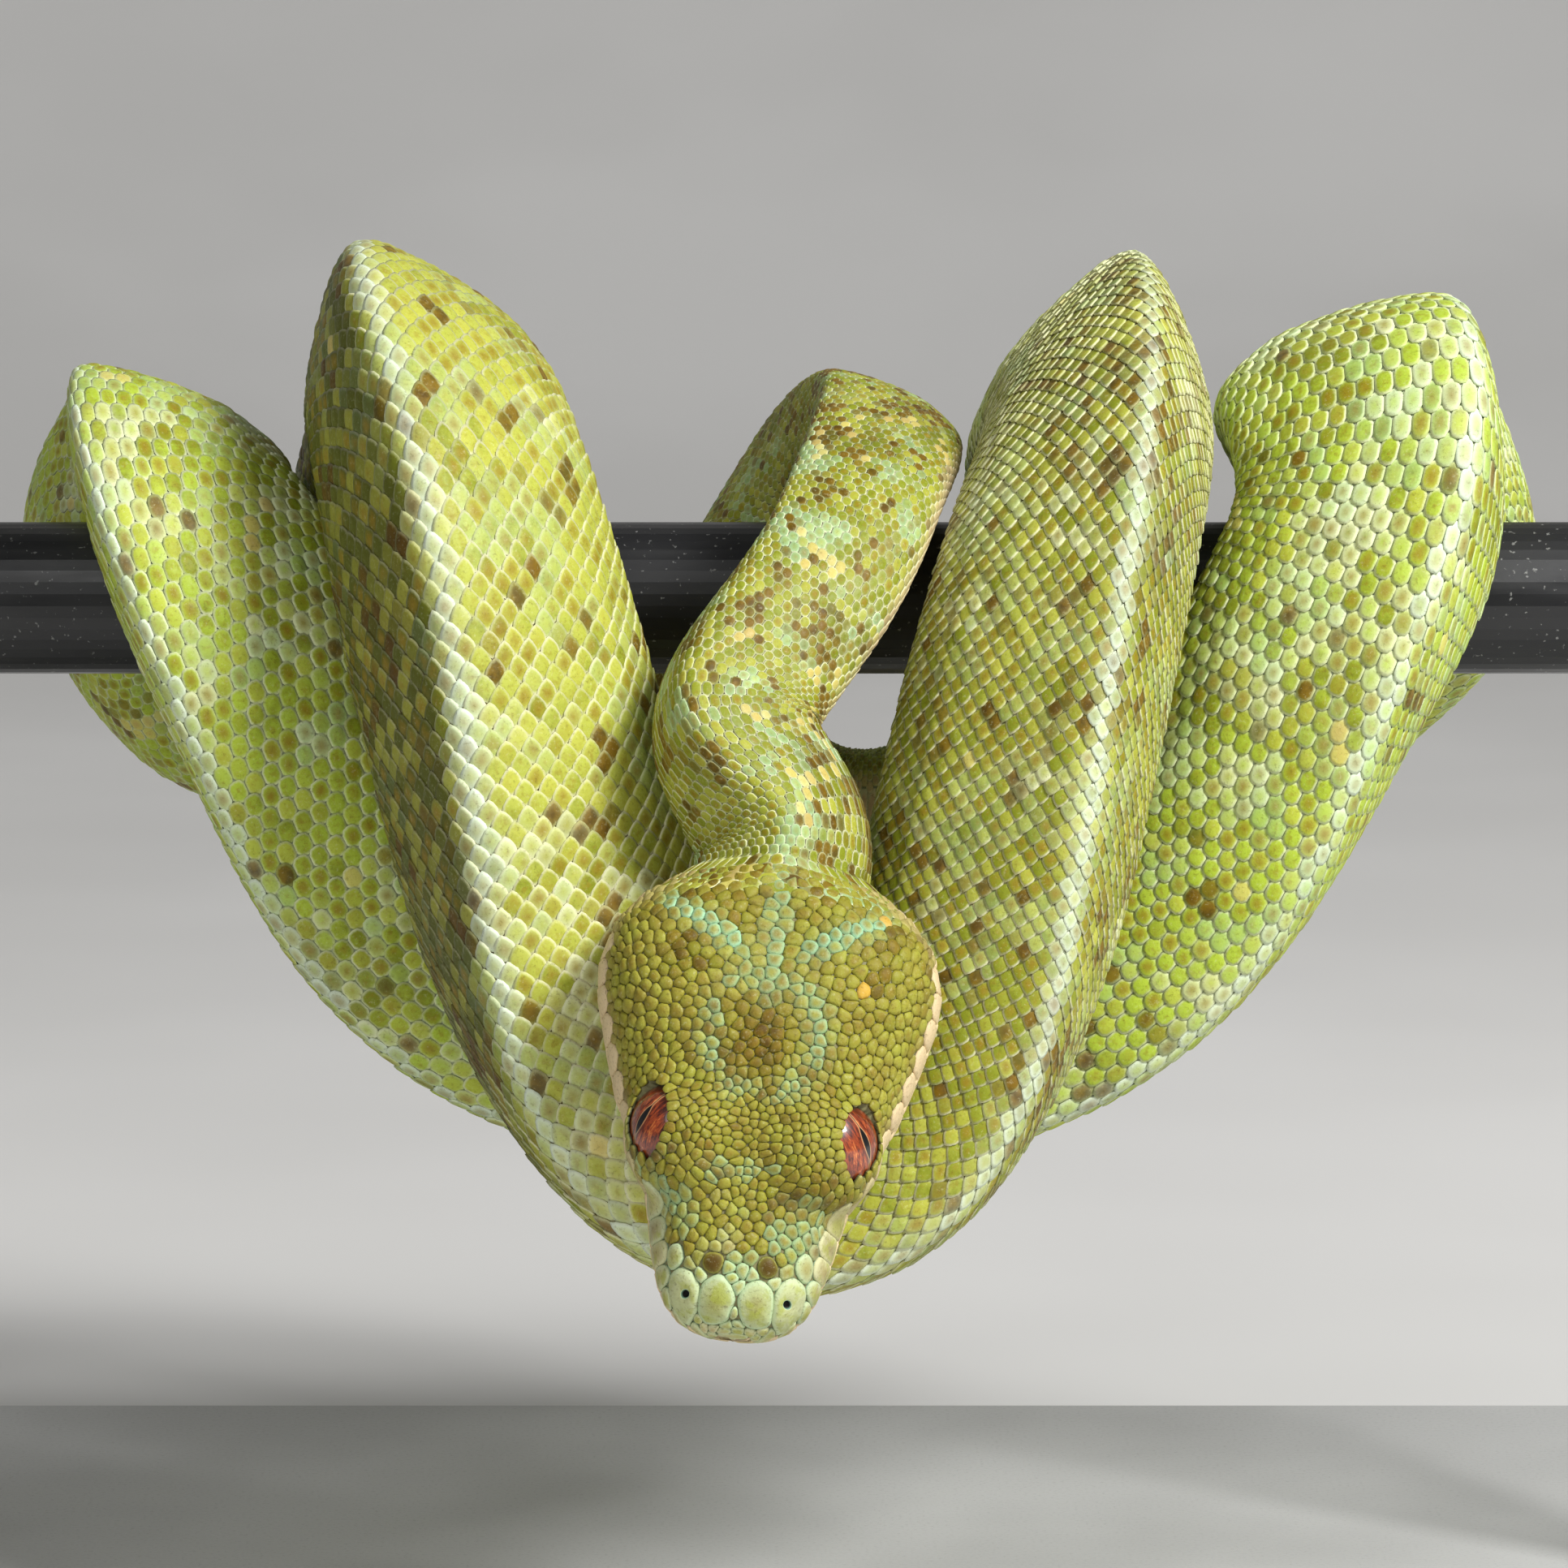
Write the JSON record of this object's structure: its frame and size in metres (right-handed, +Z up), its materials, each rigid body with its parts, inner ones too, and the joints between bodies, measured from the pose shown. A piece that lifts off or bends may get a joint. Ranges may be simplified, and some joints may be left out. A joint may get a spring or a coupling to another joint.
{
  "type": "coiled tree python display model",
  "caption": "Life-size green tree python coiled over a horizontal perch bar with its head resting on the front coils, on a plain stand with a flat base.",
  "frame": {"origin": "bottom centre of the stand's base, on the floor under the middle of the perch bar", "axes": "+X along the perch bar to the viewer's right, +Y away from the viewer, +Z up. The head hangs on the -Y side, snout down."},
  "size_m": [0.3, 0.212, 0.1927],
  "materials": {
    "green_scales": "satin keeled scales in yellow-green with olive-brown flecks and pale edges",
    "pale_lips": "satin cream lip scales",
    "eye_copper": "wet gloss copper-red iris with an upright black slit pupil",
    "perch_black": "satin black with fine dust",
    "stand_grey": "matt light grey paint"
  },
  "bodies": {
    "root": {"head": "green_scales", "lower_jaw": "pale_lips", "eye_left": "eye_copper", "eye_right": "eye_copper", "neck_front": "green_scales", "neck_rear": "green_scales", "trunk_1": "green_scales", "trunk_2": "green_scales", "trunk_3": "green_scales", "trunk_4": "green_scales", "trunk_5": "green_scales", "trunk_6": "green_scales", "trunk_7": "green_scales", "trunk_8": "green_scales", "trunk_9": "green_scales", "trunk_10": "green_scales", "trunk_11": "green_scales", "tail_1": "green_scales", "tail_2": "green_scales", "tail_tip": "green_scales", "perch_bar": "perch_black", "stand_base": "stand_grey", "stand_rod_left": "stand_grey", "stand_rod_right": "stand_grey"}
  },
  "joints": []
}
